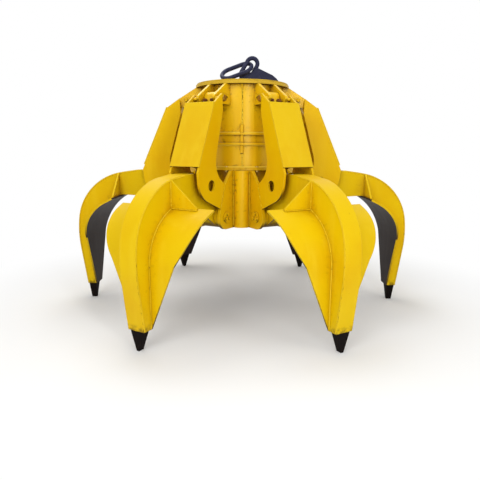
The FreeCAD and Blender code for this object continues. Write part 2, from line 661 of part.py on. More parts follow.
def cheek_pair():
    """Plates each side of a cylinder, from the top bracket down to the edges of the hinge lugs."""
    top, bottom = guard_line(GUARD)
    outline = [(CHEEK_TOP[0], CHEEK_TOP[1], 0), (top[0], top[1], 0), (bottom[0], bottom[1], 0),
               (CHEEK_CORNER[0], CHEEK_CORNER[1], 0), (CHEEK_LOBE[0], CHEEK_LOBE[1], CHEEK_LOBE_R),
               (CHEEK_FOOT[0], CHEEK_FOOT[1], 0), (CHEEK_SEAM_TOP[0], CHEEK_SEAM_TOP[1], 0),
               (CHEEK_BAY[0], CHEEK_BAY[1], -CHEEK_BAY_R), (CHEEK_NECK[0], CHEEK_NECK[1], 0)]
    hole = cross_bar(CYLINDER_FOOT, CHEEK_HOLE_R, -CHEEK_OUTER, CHEEK_OUTER)
    lug = slab(lug_outline(), -CHEEK_OUTER, CHEEK_OUTER)
    return [plate.cut(hole).cut(lug) for plate in plate_pair(belt_edges(outline), CHEEK_INNER, CHEEK)]


def guard_cover():
    """Flat cover that joins the outer edges of two cheeks."""
    inner = guard_line(GUARD)
    corners = [at(GUARD_TOP), at(GUARD_BOTTOM), at(inner[1]), at(inner[0])]
    edges = [Part.makeLine(a, b) for a, b in zip(corners, corners[1:] + corners[:1])]
    return slab(edges, -CHEEK_OUTER, CHEEK_OUTER)


def bracket_pair():
    """Clevis plates that carry a cylinder under the top plate, and the spacers to the cheeks."""
    inside = DRUM_R - TRIM
    foot = BRACKET_CHIN[1] - BRACKET_ROUND
    outline = [(BRACKET_SHOULDER_X, DRUM_TOP, 0), (BRACKET_NOSE[0], BRACKET_NOSE[1], BRACKET_ROUND),
               (BRACKET_CHIN[0], BRACKET_CHIN[1], BRACKET_ROUND), (inside, foot, 0), (inside, DRUM_TOP, 0)]
    drum = disc(DRUM_R + BODY_GAP, foot - TRIM, DRUM_TOP + TRIM)
    hole = cross_bar(CYLINDER_TOP, TOP_PIN_R + RUNNING_FIT, -BRACKET_OUTER, BRACKET_OUTER)
    plates = [plate.cut(drum).cut(hole) for plate in plate_pair(belt_edges(outline), BRACKET_INNER, BRACKET)]
    spacers = [cross_bar(SPACER_AT, SPACER_R, BRACKET_OUTER, CHEEK_INNER),
               cross_bar(SPACER_AT, SPACER_R, -CHEEK_INNER, -BRACKET_OUTER)]
    return [fused(list(pair)) for pair in zip(plates, spacers)]


def hinge_pin():
    """Pin flush with the outer faces of its lugs."""
    return cross_bar(HINGE, HINGE_PIN_R, -LUG_OUTER, LUG_OUTER)


def bolt_head(x, z, face, side):
    """Hexagon head on a plate whose face is that far from the tine's middle plane."""
    return hexagon(BOLT_WIDTH, BOLT_HEIGHT, Vector(x, side * face, z), Vector(0, side, 0))


def hinge_caps():
    """Round bolted caps over the ends of a hinge pin."""
    face = LUG_OUTER + CAP
    discs = [cross_bar(HINGE, HINGE_PIN_R + CAP_OVERLAP, LUG_OUTER, face),
             cross_bar(HINGE, HINGE_PIN_R + CAP_OVERLAP, -face, -LUG_OUTER)]
    caps = []
    for side, plate in zip((1, -1), discs):
        heads = []
        for index in range(CAP_BOLTS):
            angle = math.radians(90 + 360.0 / CAP_BOLTS * index)
            heads.append(bolt_head(HINGE[0] + CAP_BOLT_CIRCLE_R * math.cos(angle),
                                   HINGE[1] + CAP_BOLT_CIRCLE_R * math.sin(angle), face, side))
        caps.append(fused([plate] + heads))
    return caps


def cylinder_pin():
    """Pin that stands out of its brackets, slotted for a keeper at each end."""
    reach = BRACKET_OUTER + PIN_STUB
    pin = cross_bar(CYLINDER_TOP, TOP_PIN_R, -reach, reach)
    pin = pin.makeChamfer(PIN_CHAMFER, [edge for edge in pin.Edges if edge.Closed])
    corner = CYLINDER_TOP[0] - TOP_PIN_R, CYLINDER_TOP[1] + KEEPER_RISE - KEEPER_WIDTH / 2
    for y in (BRACKET_OUTER, -BRACKET_OUTER - KEEPER):
        pin = pin.cut(Part.makeBox(2 * TOP_PIN_R, KEEPER, KEEPER_WIDTH, at(corner, y)))
    return pin


def keeper_pair():
    """Bolted keeper bars with rounded ends in the slots of a cylinder pin."""
    z = CYLINDER_TOP[1] + KEEPER_RISE
    half = KEEPER_WIDTH / 2
    ends_x = (CYLINDER_TOP[0] - KEEPER_REACH, CYLINDER_TOP[0] + KEEPER_REACH)
    bars = plate_pair(belt_edges([(x, z, half) for x in ends_x]), BRACKET_OUTER, KEEPER)
    keepers = []
    for side, bar in zip((1, -1), bars):
        keepers.append(fused([bar] + [bolt_head(x, z, BRACKET_OUTER + KEEPER, side) for x in ends_x]))
    return keepers


# ---------------------------------------------------------------- drum and hub
def index_bar(bottom, top):
    """Stretch of the half-round bar that runs down the drum's seam, facing -Y."""
    bar = disc(INDEX_BAR_R, bottom, top, 0, -DRUM_R)
    return bar.cut(disc(DRUM_R - DRUM_WALL / 2, bottom, top))


def rounded_ends(bar, z):
    """Bar with its free end at height z rounded off."""
    rim = [edge for edge in bar.Edges if abs(edge.CenterOfMass.z - z) < 0.1 and edge.CenterOfMass.y < -DRUM_R]
    return bar.makeFillet(INDEX_BAR_ROUND, rim)


def upper_drum():
    bar = rounded_ends(index_bar(RING_TOP, INDEX_BAR_TOP), INDEX_BAR_TOP)
    return fused([tube(DRUM_R, DRUM_WALL, RING_TOP, DRUM_TOP), bar])


def middle_ring():
    """Ring between two flanges, with the deck that carries motor and pump."""
    flanges = [disc(RING_R, RING_TOP - RING_FLANGE, RING_TOP),
               disc(RING_R, RING_BOTTOM, RING_BOTTOM + RING_FLANGE)]
    room = disc(DRUM_R - DRUM_WALL, RING_BOTTOM + RING_FLANGE, RING_TOP)
    ring = tube(DRUM_R, DRUM_WALL, RING_BOTTOM, RING_TOP)
    bar = index_bar(RING_BOTTOM, RING_TOP)
    return fused(flanges + [ring, bar]).cut(room).cut(disc(SHAFT_HOLE_R, RING_BOTTOM, RING_TOP))


def lower_drum():
    """Oil tank under the ring, with the flange that is bolted to the hub."""
    bar = rounded_ends(index_bar(INDEX_BAR_BOTTOM, RING_BOTTOM), INDEX_BAR_BOTTOM)
    wall = tube(DRUM_R, DRUM_WALL, HUB_FLANGE_TOP, RING_BOTTOM)
    flange = tube(HUB_FLANGE_R, HUB_FLANGE_R - DRUM_R, HUB_FLANGE_TOP, DRUM_FLANGE_TOP)
    return fused([wall, flange, bar]).cut(bolt_holes())


def flange_bolt_places():
    places = []
    for index in range(TINES):
        for spread in (-FLANGE_BOLT_SPREAD, FLANGE_BOLT_SPREAD):
            angle = math.radians(360.0 / TINES * index + spread)
            places.append((FLANGE_BOLT_CIRCLE_R * math.cos(angle), FLANGE_BOLT_CIRCLE_R * math.sin(angle)))
    return places


def bolt_holes():
    holes = [disc(FLANGE_BOLT_R + FLANGE_BOLT_PLAY, HUB_FLANGE_BOTTOM, DRUM_FLANGE_TOP, x, y)
             for x, y in flange_bolt_places()]
    return Part.makeCompound(holes)


def flange_bolts():
    """Hexagon bolts with nuts through the drum and hub flanges."""
    bolts = []
    for x, y in flange_bolt_places():
        shank = disc(FLANGE_BOLT_R, HUB_FLANGE_BOTTOM - NUT - FLANGE_BOLT_SHOW, DRUM_FLANGE_TOP, x, y)
        head = hexagon(FLANGE_BOLT_WIDTH, BOLT_HEAD, Vector(x, y, DRUM_FLANGE_TOP), Vector(0, 0, 1))
        nut = hexagon(FLANGE_BOLT_WIDTH, NUT, Vector(x, y, HUB_FLANGE_BOTTOM), Vector(0, 0, -1))
        bolts.append(shank.multiFuse([head, nut]))
    return Part.makeCompound(bolts)


def hub_column():
    """Central column under the hub flange, with a dished bottom and a drain plug."""
    flange = disc(HUB_FLANGE_R, HUB_FLANGE_BOTTOM, HUB_FLANGE_TOP)
    wall = tube(COLUMN_R, COLUMN_WALL, COLUMN_BOTTOM, HUB_FLANGE_BOTTOM)
    floor = disc(COLUMN_R, COLUMN_BOTTOM, COLUMN_BOTTOM + COLUMN_WALL)
    dish = Part.makeCone(DISH_R, COLUMN_R, DISH, Vector(0, 0, COLUMN_BOTTOM - DISH))
    plug = hexagon(DRAIN_PLUG[0], DRAIN_PLUG[1], Vector(0, 0, COLUMN_BOTTOM - DISH), Vector(0, 0, -1))
    passage = disc(COLUMN_PASSAGE_R, HUB_FLANGE_BOTTOM, HUB_FLANGE_TOP)
    return fused([flange, wall, floor, dish, plug]).cut(passage).cut(bolt_holes())


def top_plate():
    """Lid of the drum: a thick plate and a slightly smaller cover, with the cable's hole."""
    plate = disc(TOP_PLATE_R, DRUM_TOP, TOP_PLATE_TOP)
    cover = disc(TOP_COVER_R, TOP_PLATE_TOP, COVER_TOP)
    cable = disc(SPIGOT_R + SPIGOT_PLAY, DRUM_TOP, COVER_TOP, *GLAND_AT)
    return fused([plate, cover]).cut(cable)


# ---------------------------------------------------------------- drive
def motor():
    """Electric motor with a foot flange and cooling ribs."""
    base = RING_BOTTOM + RING_FLANGE
    body = disc(MOTOR_R, base, base + MOTOR_HEIGHT)
    foot = disc(MOTOR_FOOT[0], base, base + MOTOR_FOOT[1])
    shaft = disc(SHAFT_R, RING_BOTTOM, base)
    reach, thickness = MOTOR_FIN
    height = MOTOR_HEIGHT - sum(MOTOR_FIN_ENDS)
    corner = Vector(0, -thickness / 2, base + MOTOR_FIN_ENDS[0])
    rib = Part.makeBox(MOTOR_R + reach, thickness, height, corner)
    ribs = [turned(rib, index, 360.0 / MOTOR_FINS) for index in range(MOTOR_FINS)]
    return fused([body, foot, shaft] + ribs)


def pump():
    """Hydraulic pump hung under the deck, on the motor's axis."""
    radius, thickness = PUMP_FLANGE
    flange = disc(radius, RING_BOTTOM - thickness, RING_BOTTOM)
    body = disc(PUMP_R, RING_BOTTOM - thickness - PUMP_HEIGHT, RING_BOTTOM - thickness)
    return fused([flange, body])


def valve_block():
    """Control block bolted under the deck beside the pump."""
    length, width, height = VALVE_BLOCK
    face_y = VALVE_BLOCK_Y - width / 2
    block = Part.makeBox(length, width, height, Vector(-length / 2, face_y, RING_BOTTOM - height))
    coils = []
    for index in range(COILS):
        place = Vector((index - (COILS - 1) / 2) * COIL_PITCH, face_y, RING_BOTTOM - height / 2)
        coils.append(Part.makeCylinder(COIL_R, COIL_LENGTH, place, Vector(0, -1, 0)))
    return fused([block] + coils)


# ---------------------------------------------------------------- lifting gear
def lifting_bracket():
    """Two upright plates on the top plate that hold the lifting pin."""
    outline = [(LIFT_PLATE_LEFT, COVER_TOP, 0), (LIFT_PIN_AT[0], LIFT_PIN_AT[1], LIFT_PLATE_LOBE_R),
               (LIFT_PLATE_SADDLE[0], LIFT_PLATE_SADDLE[1], -LIFT_PLATE_SADDLE_R),
               (LIFT_PLATE_APEX[0], LIFT_PLATE_APEX[1], LIFT_PLATE_APEX_R),
               (LIFT_PLATE_KNEE[0], LIFT_PLATE_KNEE[1], 0), (LIFT_PLATE_HEEL[0], LIFT_PLATE_HEEL[1], 0),
               (LIFT_PLATE_RIGHT, COVER_TOP, 0)]
    half_gap = LIFT_PLATE_GAP / 2
    plates = plate_pair(belt_edges(outline), half_gap, LIFT_PLATE)
    web = Part.makeBox(LIFT_WEB[1], LIFT_PLATE_GAP, LIFT_WEB[2], Vector(LIFT_WEB[0], -half_gap, COVER_TOP))
    reach = half_gap + LIFT_PLATE
    hole = cross_bar(LIFT_PIN_AT, LIFT_PIN_R + RUNNING_FIT, -reach, reach)
    return fused(plates + [web]).cut(hole)


def lifting_pin():
    """Pin through the bracket with a flat head at each end."""
    radius, thickness = LIFT_PIN_HEAD
    reach = LIFT_PLATE_GAP / 2 + LIFT_PLATE
    pin = cross_bar(LIFT_PIN_AT, LIFT_PIN_R, -reach, reach)
    heads = [cross_bar(LIFT_PIN_AT, radius, -reach - thickness, -reach),
             cross_bar(LIFT_PIN_AT, radius, reach, reach + thickness)]
    return fused([pin] + heads)


def chain_link(pitch, half):
    """Round-bar link in the XZ plane from crown bar to crown bar, first crown at the origin.

    pitch is the distance between the crown bars and half is half the inner width."""
    crown_r = half + LINK_BAR / 2
    bar_r = LINK_BAR / 2
    profile = Part.Wire(Part.makeCircle(bar_r, Vector(crown_r, 0, crown_r), Vector(0, 0, 1)))
    face = Part.Face(profile)
    crown = face.revolve(Vector(0, 0, crown_r), Vector(0, 1, 0), 180)
    run = pitch - 2 * crown_r
    legs = [Part.makeCylinder(bar_r, run, Vector(side * crown_r, 0, crown_r)) for side in (1, -1)]
    far = crown.mirror(Vector(0, 0, pitch / 2), Vector(0, 0, 1))
    return fused([crown, far] + legs)


def short_link():
    """Link on the lifting pin. Its lower crown goes round the pin."""
    crown_r = SHORT_LINK_HALF + LINK_BAR / 2
    dx = SHORT_LINK_TOP[0] - LIFT_PIN_AT[0]
    dz = SHORT_LINK_TOP[1] - LIFT_PIN_AT[1]
    play = SHORT_LINK_HALF - LIFT_PIN_R - BODY_GAP
    link = chain_link(math.hypot(dx, dz) + 2 * crown_r - play, SHORT_LINK_HALF)
    link.translate(Vector(0, 0, play - crown_r))
    link.rotate(Vector(0, 0, 0), Vector(0, 1, 0), math.degrees(math.atan2(dx, dz)))
    link.translate(at(LIFT_PIN_AT))
    return link


def long_link():
    """Free link that the hoist's hook takes. It lies down to the left on the top plate."""
    link = chain_link(LONG_LINK_PITCH, LONG_LINK_HALF)
    link.rotate(Vector(0, 0, 0), Vector(0, 0, 1), 90 - LONG_LINK_ROLL)
    link.rotate(Vector(0, 0, 0), Vector(0, 1, 0), -90 - LONG_LINK_SLOPE)
    link.translate(at(LONG_LINK_CROWN))
    return link


# ---------------------------------------------------------------- fittings
def cable_gland():
    """Screwed gland where the power cable enters the drum."""
    x, y = GLAND_AT
    nut = hexagon(2 * CABLE_GLAND_R, CABLE_GLAND_NUT, Vector(x, y, COVER_TOP), Vector(0, 0, 1))
    body = disc(CABLE_GLAND_BODY_R, COVER_TOP, COVER_TOP + CABLE_GLAND_HEIGHT, x, y)
    rim = [edge for edge in body.Edges if edge.Closed and edge.CenterOfMass.z > COVER_TOP + CABLE_GLAND_NUT]
    body = body.makeChamfer(CABLE_GLAND_CHAMFER, rim)
    spigot = disc(SPIGOT_R, DRUM_TOP, COVER_TOP, x, y)
    return fused([nut, body, spigot]).cut(disc(CABLE_HOLE_R, DRUM_TOP, COVER_TOP + CABLE_GLAND_HEIGHT, x, y))


def breather():
    """Mushroom breather and filler cap of the oil tank."""
    x, y = BREATHER_AT
    top = COVER_TOP + BREATHER_HEIGHT
    stem = disc(BREATHER_STEM_R, COVER_TOP, top, x, y)
    cap = disc(BREATHER_R, top - BREATHER_CAP, top, x, y)
    rim = [edge for edge in cap.Edges if edge.Closed and edge.CenterOfMass.z > top - BREATHER_ROUND]
    cap = cap.makeFillet(BREATHER_ROUND, rim)
    return fused([stem, cap])


# ---------------------------------------------------------------- assembly
def export_tines():
    one_tine = {"tine_%d_frame": tine_frame(), "tine_%d_shell": shell(), "tine_%d_tooth": tooth(),
                "tine_%d_rod_pin": rod_pin(), "cylinder_%d_barrel": barrel(), "cylinder_%d_rod": rod()}
    for name, shape in one_tine.items():
        for index in range(TINES):
            export(name % (index + 1), turned(shape, index))


def export_hub():
    export("hub_lugs", around(lug_pair()))
    export("hub_posts", around([post()]))
    export("hub_column", hub_column())
    export("cheek_plates", around(cheek_pair()))
    export("guard_covers", around([guard_cover()]))
    export("cylinder_brackets", around(bracket_pair()))
    export("hinge_pins", around([hinge_pin()]))
    export("hinge_caps", around(hinge_caps()))
    export("cylinder_pins", around([cylinder_pin()]))
    export("pin_keepers", around(keeper_pair()))


def export_drum():
    export("upper_drum", upper_drum())
    export("middle_ring", middle_ring())
    export("lower_drum", lower_drum())
    export("flange_bolts", flange_bolts())
    export("top_plate", top_plate())
    export("motor", motor())
    export("pump", pump())
    export("valve_block", valve_block())
    export("cable_gland", cable_gland())
    export("breather_cap", breather())


def export_lifting_gear():
    export("lifting_bracket", lifting_bracket())
    export("lifting_pin", lifting_pin())
    export("short_link", short_link())
    export("long_link", long_link())


os.makedirs("parts", exist_ok=True)
export_tines()
export_hub()
export_drum()
export_lifting_gear()
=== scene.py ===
import math
import random

import bmesh
import bpy
from mathutils import Matrix, Vector


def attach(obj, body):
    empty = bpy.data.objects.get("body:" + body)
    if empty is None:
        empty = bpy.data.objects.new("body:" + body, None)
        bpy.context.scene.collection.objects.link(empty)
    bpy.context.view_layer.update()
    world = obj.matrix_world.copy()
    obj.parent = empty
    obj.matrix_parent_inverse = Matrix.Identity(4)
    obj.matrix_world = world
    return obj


bl_info = {
    "name": "Orange-peel grab finish",
    "version": (1, 0, 0),
    "blender": (4, 5, 0),
    "location": "View3D > Sidebar > Grab",
    "description": "Paint, weld beads, small fittings and a stage for the six-tine grab",
    "category": "Object",
}

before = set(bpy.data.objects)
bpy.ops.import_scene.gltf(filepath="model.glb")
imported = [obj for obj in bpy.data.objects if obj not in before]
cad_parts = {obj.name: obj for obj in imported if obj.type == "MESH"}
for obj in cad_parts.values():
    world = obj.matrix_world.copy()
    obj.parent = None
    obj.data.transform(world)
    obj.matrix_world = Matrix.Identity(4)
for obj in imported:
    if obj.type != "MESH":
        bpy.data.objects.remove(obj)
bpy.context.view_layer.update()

TINES = 6
TINE_HALF = 0.084                # outer face of a tine's side plate from its middle plane
LUG_OUTER = 0.160                 # outer faces of lugs and cheeks, from the same plane
CHEEK_OUTER = 0.158
DRUM_R = 0.410
POST_CIRCLE_R = 0.420             # circle that the posts stand on
POST_R = 0.082
HUB_FLANGE_BOTTOM = 1.408
LUG_BOTTOM = 0.857
GUSSET_FACE = 1.288               # outer face of the gusset plates, from the hub's axis
GUSSET_HALF = 0.341
GUSSET_FOOT = 1.1265
GUSSET_TOP = 1.352
TINE_FOOT = 0.174

# Lines of a tine, as start, slope in degrees and steps of (run, bend radius, bend in degrees).
RIDGE = ((1.100, 1.392), -8.0, ((0.141, 0.560, 74.0), (0.0, 1.155, 16.0)))
CREASE = ((1.254, 1.139), -26.0, ((0.070, 0.460, 64.0),))
LUG_SEAM = ((0.586, 1.275), (0.6547, 1.060))
TACK_SHARES = (0.12, 0.48, 0.84)
DRUM_SEAM_X = 0.004
DRUM_SEAM_RUNS = ((1.842, 2.204), (1.440, 1.562))
RING_WELD_HEIGHTS = (1.439, 1.646, 1.764)
PORT_HEIGHT = 2.046
PORT_ASIDE = 0.040                # from the cylinder's middle plane
# Nut, pipe and collar of a port, as sides, radius, length and distance from the hub's axis.
PORT_STEPS = ((6, 0.019, 0.016, 0.604), (12, 0.013, 0.050, 0.606), (6, 0.016, 0.010, 0.622))
DRIP_PLACE = (0.0, -DRUM_R - 0.006, 2.183)

# Heights on a tine between which paint goes from worn or darker to sound.
WORN_FOOT = (0.45, 0.95)
DARKER_FOOT = (TINE_FOOT, 0.245)

DOWN = (0.0, 0.0, -1.0)
WHITE = (1.0, 1.0, 1.0, 1.0)
RUNNING_DOWN = (1.0, 1.0, 0.14)   # stretches of a noise
SCRAPED_DOWN = (1.0, 1.0, 0.08)
SQUAT = (1.0, 1.0, 0.6)
TURNED = (1.0, 1.0, 6.0)

LIT_POINT = Vector((0.0, 0.0, 1.2))
LAMPS = (("front softbox", (-2.4, -6.0, 4.6), (3.2, 3.2), 142.0),  # name, place, size, watts
         ("side softbox", (4.6, -4.2, 3.4), (2.6, 2.6), 34.0),
         ("top softbox", (-0.8, 1.4, 6.2), (3.6, 3.6), 130.0),
         ("strip light", (1.30, -4.8, 2.3), (0.16, 2.4), 42.0))
FLOOR_HALF = 40.0
FLOOR_FADE = (1.7, 3.6)           # distances between which the floor goes over into white
SENSOR = 36.0


# ---------------------------------------------------------------- settings
def colour(name, description, value):
    return bpy.props.FloatVectorProperty(name=name, description=description, default=value, size=3,
                                         min=0.0, max=1.0, subtype="COLOR")


def length(name, description, value):
    return bpy.props.FloatProperty(name=name, description=description, default=value, min=0.0,
                                   subtype="DISTANCE", unit="LENGTH")


def angle(name, description, degrees):
    return bpy.props.FloatProperty(name=name, description=description, default=math.radians(degrees),
                                   subtype="ANGLE", unit="ROTATION")


class GrabColours(bpy.types.PropertyGroup):
    tine: colour("Tine paint", "Lemon yellow of the tines", (0.715, 0.475, 0.0015))
    hub: colour("Hub paint", "Yellow of the cheeks and lugs", (0.755, 0.465, 0.0015))
    drum: colour("Drum paint", "Yellow of the drum and the posts", (0.81, 0.50, 0.003))
    cover: colour("Cover paint", "Paler yellow of the guard covers", (0.71, 0.465, 0.006))
    rim: colour("Rim paint", "Worn yellow of the top plate", (0.60, 0.39, 0.030))
    # Orange-brown painted shade for corners and the feet of weld beads; also the colour of random stain
    # patches.
    corner_shade_and_stain: colour("Grime", "Orange-brown that gathers in corners", (0.36, 0.135, 0.002))
    # Pale painted highlight along plates' edges, and the colour of the drum's beads; also lightens spatter on
    # weld beads.
    edge: colour("Edges", "Pale line where paint is thin on a plate's edge", (0.92, 0.69, 0.055))
    # Near black painted shade for creases, deep corners and faces that look down; also darkens patches at a
    # tine's foot.
    shade_and_dirt: colour("Dirt", "Near black dirt of undersides, seams and the foot of a tine",
                 (0.050, 0.017, 0.004))
    chip: colour("Chips", "Rusty steel that shows where paint has chipped", (0.085, 0.030, 0.008))
    inside: colour("Inside", "Dark face of the shells towards the load", (0.019, 0.012, 0.015))
    tooth: colour("Tooth", "Cast steel of the teeth", (0.0045, 0.0026, 0.0022))
    tooth_worn: colour("Worn tooth", "Rubbed faces and edges of the teeth", (0.014, 0.008, 0.007))
    tooth_rust: colour("Tooth rust", "Rust in the hollows of the teeth", (0.018, 0.007, 0.004))
    chain: colour("Chain", "Blue-black paint of the links and their bracket", (0.020, 0.022, 0.055))
    chain_worn: colour("Worn chain", "Rubbed edges of the links", (0.070, 0.076, 0.14))
    scrape: colour("Scrapes", "Bright scrapes down the inside of the shells", (0.050, 0.038, 0.040))
    port: colour("Ports", "Rusty iron of the cylinders' ports", (0.13, 0.042, 0.012))
    port_worn: colour("Worn ports", "Edges of the ports", (0.42, 0.20, 0.05))
    motor: colour("Motor", "Grey paint of the motor and the breather", (0.09, 0.10, 0.11))
    motor_worn: colour("Worn motor", "Edges of the motor", (0.20, 0.20, 0.20))
    pump: colour("Pump", "Cast iron of the pump and the valve block", (0.11, 0.11, 0.115))
    pump_worn: colour("Worn pump", "Edges of the pump", (0.24, 0.23, 0.22))
    pin: colour("Pins", "Greased steel of the pins", (0.44, 0.27, 0.06))
    chrome: colour("Chrome", "Hard chrome of the piston rods", (0.80, 0.80, 0.80))
    zinc: colour("Zinc", "Yellow zinc of the flange bolts", (0.62, 0.44, 0.12))
    brass: colour("Brass", "Brass of the cable gland", (0.62, 0.43, 0.16))
    floor: colour("Floor", "Pale studio floor", (0.86, 0.86, 0.85))


class GrabSizes(bpy.types.PropertyGroup):
    seam_bead: length("Seam bead", "Radius of the beads along the tines", 0.0065)
    post_bead: length("Post bead", "Radius of the beads down the posts", 0.0075)
    ripple: length("Ripple", "Distance from one ripple of a bead to the next", 0.011)
    tack: length("Tack", "Length of a tack weld", 0.026)
    ring_bead: length("Ring bead", "Radius of the beads round the drum", 0.007)
    drum_bead: length("Drum bead", "Radius of the bead down the drum", 0.0052)
    running_fit: length("Running fit", "Play between a hinge pin and the faceted bore that turns on it",
                        0.0004)
    # This reach also sets how far the painted highlight on edges reaches in.
    chip_and_highlight_reach: length("Chip reach", "How far wear reaches in from an edge", 0.007)


class GrabStage(bpy.types.PropertyGroup):
    eye: length("Eye height", "Height of the camera", 1.604)
    distance: length("Distance", "From the camera to the hub's axis", 4.95)
    lens: bpy.props.FloatProperty(name="Lens", description="Focal length in millimetres", default=34.94,
                                  min=1.0, subtype="DISTANCE_CAMERA")
    pitch: angle("Pitch", "How far the camera looks down", 10.98)
    orbit: angle("Orbit", "How far the camera stands round to the right", 0.31)
    aside: angle("Aside", "How far the camera looks to the left of the hub's axis", 0.184)
    roll: angle("Roll", "How far the camera leans to the left", 0.29)
    sky: bpy.props.FloatProperty(name="Sky", description="Strength of the even light from all round",
                                 default=0.68, min=0.0)


# ---------------------------------------------------------------- finishes
class Reading:
    """A socket of a node tree. Arithmetic on it adds Math nodes."""

    def __init__(self, nodes, socket):
        self.nodes = nodes
        self.socket = socket

    def math(self, operation, first, second):
        return self.nodes.node("ShaderNodeMath", {"operation": operation}, {0: first, 1: second})

    def __add__(self, other):
        return self.math("ADD", self, other)

    def __sub__(self, other):
        return self.math("SUBTRACT", self, other)

    def __rsub__(self, other):
        return self.math("SUBTRACT", other, self)

    def __mul__(self, other):
        return self.math("MULTIPLY", self, other)

    __radd__ = __add__
    __rmul__ = __mul__

    def between(self, low, high):
        """0 up to low, 1 from high, and a smooth rise between."""
        return self.nodes.node("ShaderNodeMapRange", {"interpolation_type": "SMOOTHSTEP"},
                               {"Value": self, "From Min": low, "From Max": high})


class Nodes:
    """The node tree of a material or a world, in the making."""

    def __init__(self, owner, output):
        owner.use_nodes = True
        self.tree = owner.node_tree
        self.tree.nodes.clear()
        self.surface = self.tree.nodes.new(output).inputs["Surface"]

    def node(self, kind, settings, inputs, output=0):
        """One node: its settings first, then the values or links of its sockets."""
        node = self.tree.nodes.new(kind)
        for key, value in settings.items():
            setattr(node, key, value)
        for key, value in inputs.items():
            if isinstance(value, Reading):
                self.tree.links.new(value.socket, node.inputs[key])
            else:
                node.inputs[key].default_value = value
        return Reading(self, node.outputs[output])

    def show(self, reading):
        self.tree.links.new(reading.socket, self.surface)

    def seen(self):
        """1 for what the camera, a mirror or glass sees, 0 for the light that falls on things."""
        camera, glossy, through = [self.node("ShaderNodeLightPath", {}, {}, ray)
                                   for ray in ("Is Camera Ray", "Is Glossy Ray", "Is Transmission Ray")]
        return camera.math("MAXIMUM", camera.math("MAXIMUM", camera, glossy), through)


class Finish(Nodes):
    """A material in the making, with its Principled shader."""

    def __init__(self, name, constants):
        self.material = bpy.data.materials.new(name)
        super().__init__(self.material, "ShaderNodeOutputMaterial")
        self.coat = self.node("ShaderNodeBsdfPrincipled", {}, constants)
        self.show(self.coat)
        self.place = self.node("ShaderNodeTexCoord", {}, {}, "Object")

    def drive(self, socket, reading):
        self.tree.links.new(reading.socket, self.coat.socket.node.inputs[socket])

    def mixed(self, first, second, share):
        """Colour that goes from first to second as share rises."""
        return self.node("ShaderNodeMix", {"data_type": "RGBA"}, {0: share, 6: first, 7: second}, 2)

    def noise(self, scale, detail=3.0, stretch=(1.0, 1.0, 1.0), shift=0.0):
        place = self.node("ShaderNodeMapping", {}, {"Vector": self.place, "Scale": stretch,
                                                    "Location": (shift, shift, shift)})
        return self.node("ShaderNodeTexNoise", {}, {"Vector": place, "Scale": scale, "Detail": detail,
                                                    "Roughness": 0.55})

    def rounded(self, radius):
        """Normal that rounds every edge to a radius."""
        return self.node("ShaderNodeBevel", {"samples": 4}, {"Radius": radius})

    def edges(self, rounded):
        """Rises from 0 on a flat face to 1 on its edges."""
        flat = self.node("ShaderNodeNewGeometry", {}, {}, "True Normal")
        return (1.0 - self.dot(rounded, flat)).between(0.015, 0.16)

    def dot(self, first, second):
        return self.node("ShaderNodeVectorMath", {"operation": "DOT_PRODUCT"}, {0: first, 1: second}, "Value")

    def height(self):
        """How high a point stands while the grab is open."""
        return self.node("ShaderNodeSeparateXYZ", {}, {0: self.place}, 2)

    def facing(self, direction):
        """How far a face looks in a direction, from -1 to 1."""
        return self.dot(direction, self.node("ShaderNodeTexCoord", {}, {}, "Normal"))

    def openness(self, distance):
        """1 where a face is open to the light, less in corners."""
        return self.node("ShaderNodeAmbientOcclusion", {"samples": 4}, {"Distance": distance}, "AO")

    def bump(self, height, strength, distance, normal):
        self.drive("Normal", self.node("ShaderNodeBump", {}, {"Height": height, "Strength": strength,
                                                               "Distance": distance, "Normal": normal}))


def rgba(value):
    return (*value, 1.0)


def away_from_hub(finish):
    """How far a face looks up and away from the hub's axis, from -1 to 1."""
    flat = finish.node("ShaderNodeVectorMath", {"operation": "MULTIPLY"},
                       {0: finish.place, 1: (1.0, 1.0, 0.0)})
    out = finish.node("ShaderNodeVectorMath", {"operation": "NORMALIZE"}, {0: flat})
    out_and_up = finish.node("ShaderNodeVectorMath", {"operation": "ADD"}, {0: out, 1: (0.0, 0.0, 0.8)})
    return finish.facing(out_and_up)


